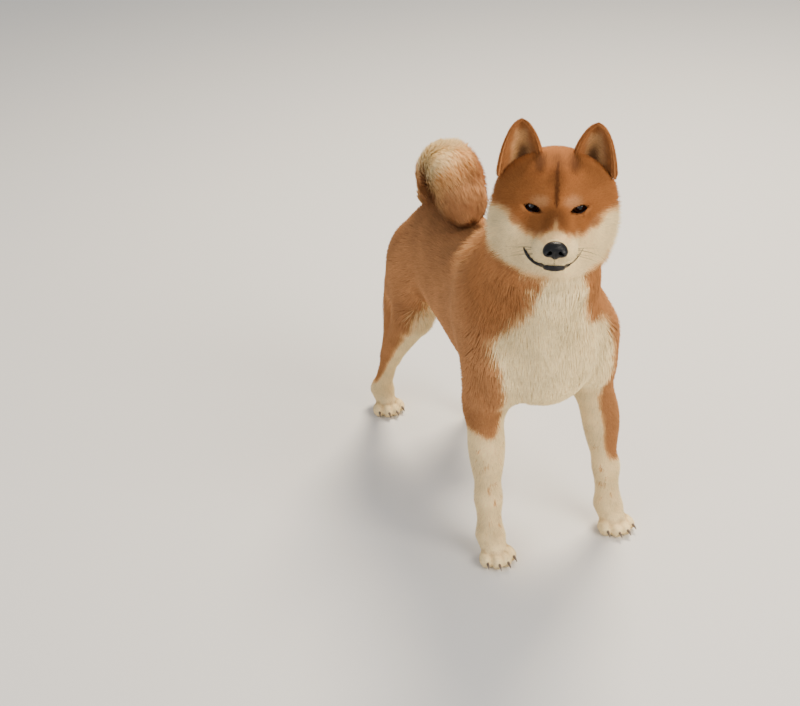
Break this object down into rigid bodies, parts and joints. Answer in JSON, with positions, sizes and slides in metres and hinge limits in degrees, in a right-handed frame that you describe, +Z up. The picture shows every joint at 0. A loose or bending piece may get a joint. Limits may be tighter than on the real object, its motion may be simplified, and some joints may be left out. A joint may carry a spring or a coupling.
{
  "type": "shiba inu model",
  "caption": "Life-size standing shiba inu with a curled bushy tail, pricked ears and a red and cream coat, as a still display model.",
  "frame": {"origin": "on the floor, under the middle of the box round the whole dog", "axes": "+X to the dog's left, -Y forwards, +Z up"},
  "size_m": [0.218, 0.5902, 0.5878],
  "materials": {
    "red_coat": "short dense red-tan coat, cream below",
    "cream_coat": "short cream coat",
    "tail_coat": "long bushy golden-cream coat",
    "ear_coat": "very short red coat, greyish pink inside",
    "nose_leather": "moist black leather",
    "eyes": "wet dark brown"
  },
  "bodies": {
    "root": {"chest": "red_coat", "belly": "red_coat", "rump": "red_coat", "neck": "red_coat", "foreleg_left": "red_coat", "forepaw_left": "cream_coat", "foreleg_right": "red_coat", "forepaw_right": "cream_coat", "thigh_left": "red_coat", "shank_left": "red_coat", "hock_left": "red_coat", "hindpaw_left": "cream_coat", "thigh_right": "red_coat", "shank_right": "red_coat", "hock_right": "red_coat", "hindpaw_right": "cream_coat", "head": "red_coat", "nose": "nose_leather", "eye_left": "eyes", "ear_left": "ear_coat", "eye_right": "eyes", "ear_right": "ear_coat", "tail_root": "tail_coat", "tail_rise": "tail_coat", "tail_crest": "tail_coat", "tail_tip": "tail_coat"}
  },
  "joints": []
}
